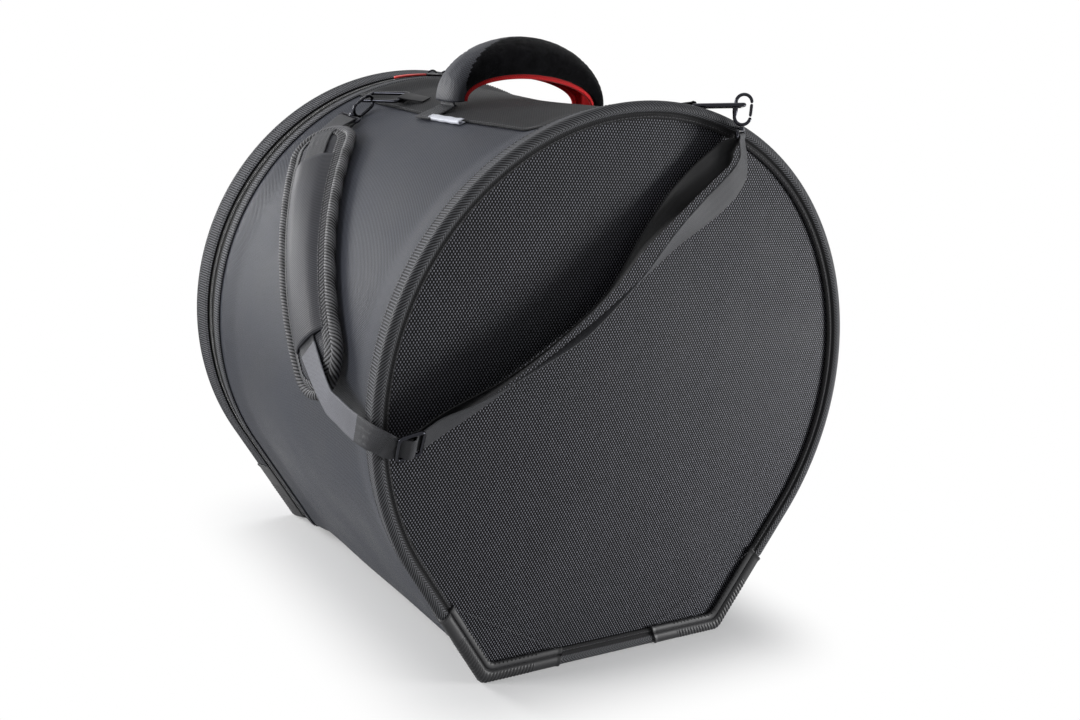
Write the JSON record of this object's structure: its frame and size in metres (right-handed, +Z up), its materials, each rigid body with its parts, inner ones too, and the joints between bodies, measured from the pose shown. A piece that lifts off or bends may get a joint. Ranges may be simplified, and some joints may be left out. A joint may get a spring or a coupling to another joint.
{
  "type": "drum bag",
  "caption": "Padded zip bag for a bass drum, round with a flat base, with a top handle, a rear lid on a zip and a shoulder strap on snap hooks.",
  "frame": {"origin": "middle of the front rim's flat base edge, at floor level", "axes": "+X to the viewer's right across the front panel, +Y from the front panel to the rear lid, +Z up"},
  "size_m": [0.5715, 0.5182, 0.607],
  "materials": {
    "side_nylon": "smooth nylon with a soft sheen",
    "ballistic_weave": "coarse basket weave",
    "binding_tape": "matt herringbone tape",
    "ribbed_patch": "ribbed",
    "foam": "closed-cell foam",
    "lining": "matt",
    "zip_tape": "ribbed",
    "zip_coil": "moulded",
    "top_twill": "twill",
    "tag_white": "woven",
    "velour": "short pile",
    "handle_red": "woven",
    "pull_red": "moulded",
    "webbing": "woven",
    "pad_nylon": "woven",
    "pad_piping": "herringbone",
    "black_metal": "black nickel"
  },
  "bodies": {
    "bag": {"base_gusset": "side_nylon", "body_cover": "side_nylon", "body_foam": "foam", "body_lining": "lining", "d_ring_front": "black_metal", "d_ring_rear": "black_metal", "front_binding": "binding_tape", "front_corner_patch_left": "ribbed_patch", "front_corner_patch_right": "ribbed_patch", "front_panel_cover": "ballistic_weave", "front_panel_foam": "foam", "front_panel_lining": "lining", "handle_foot_left": "webbing", "handle_foot_right": "webbing", "pad_piping": "pad_piping", "pad_sleeve": "pad_nylon", "rear_base_binding": "binding_tape", "rear_welt": "side_nylon", "shoulder_pad": "pad_nylon", "side_tag": "tag_white", "strap_front_run": "webbing", "strap_pad_run": "webbing", "strap_return": "webbing", "strap_tab_front": "webbing", "strap_tab_rear": "webbing", "swivel_eye_front": "black_metal", "swivel_eye_rear": "black_metal", "top_reinforcement": "top_twill", "tri_glide": "black_metal", "zip_coil_body": "zip_coil", "zip_tape_body": "zip_tape"},
    "lid": {"lid_cover": "ballistic_weave", "lid_foam": "foam", "lid_lining": "lining", "rear_binding": "binding_tape", "lid_base_binding": "binding_tape", "rear_corner_patch_left": "ribbed_patch", "rear_corner_patch_right": "ribbed_patch", "zip_tape_lid": "zip_tape", "zip_coil_lid": "zip_coil"},
    "handle": {"handle_cover": "velour", "handle_foam": "foam", "handle_webbing": "webbing", "handle_liner": "handle_red"},
    "slider_left": {"zip_slider_left": "black_metal"},
    "slider_right": {"zip_slider_right": "black_metal"},
    "pull_left": {"zip_pull_left": "pull_red"},
    "pull_right": {"zip_pull_right": "pull_red"},
    "hook_front": {"snap_hook_front": "black_metal"},
    "hook_rear": {"snap_hook_rear": "black_metal"},
    "gate_front": {"hook_gate_front": "black_metal"},
    "gate_rear": {"hook_gate_rear": "black_metal"}
  },
  "joints": [
    {"name": "lid_hinge", "type": "hinge", "parent": "bag", "child": "lid", "pos_m": [0, 0.473, 0], "axis": [-1, 0, 0], "range_deg": [0, 90]},
    {"name": "slider_left_run", "type": "hinge", "parent": "bag", "child": "slider_left", "pos_m": [0, 0.436, 0.28], "axis": [0, 1, 0], "range_deg": [-110, 0]},
    {"name": "slider_right_run", "type": "hinge", "parent": "bag", "child": "slider_right", "pos_m": [0, 0.436, 0.28], "axis": [0, 1, 0], "range_deg": [0, 110]},
    {"name": "pull_left_lift", "type": "hinge", "parent": "slider_left", "child": "pull_left", "pos_m": [-0.01859, 0.436, 0.55645], "axis": [0, 1, 0], "range_deg": [0, 110]},
    {"name": "pull_right_lift", "type": "hinge", "parent": "slider_right", "child": "pull_right", "pos_m": [0.01859, 0.436, 0.55645], "axis": [0, -1, 0], "range_deg": [0, 110]},
    {"name": "handle_tilt", "type": "hinge", "parent": "bag", "child": "handle", "pos_m": [0, 0.245, 0.5515], "axis": [1, 0, 0], "range_deg": [-10, 10]},
    {"name": "swivel_front", "type": "hinge", "parent": "bag", "child": "hook_front", "pos_m": [0.08659, -0.01322, 0.5628], "axis": [0, 0, -1], "range_deg": [-20, 20]},
    {"name": "swivel_rear", "type": "hinge", "parent": "bag", "child": "hook_rear", "pos_m": [-0.12831, 0.35498, 0.52714], "axis": [-0.7886, -0.1429, -0.5981], "range_deg": [-20, 20]},
    {"name": "gate_front_press", "type": "hinge", "parent": "hook_front", "child": "gate_front", "pos_m": [0.09259, -0.01772, 0.5516], "axis": [-0.6, -0.8, 0], "range_deg": [0, 15], "stiffness_Nm_per_rad": 0.02},
    {"name": "gate_rear_press", "type": "hinge", "parent": "hook_rear", "child": "gate_rear", "pos_m": [-0.1452, 0.35061, 0.52338], "axis": [-0.2763, 0.9512, 0.1371], "range_deg": [0, 20], "stiffness_Nm_per_rad": 0.02}
  ]
}
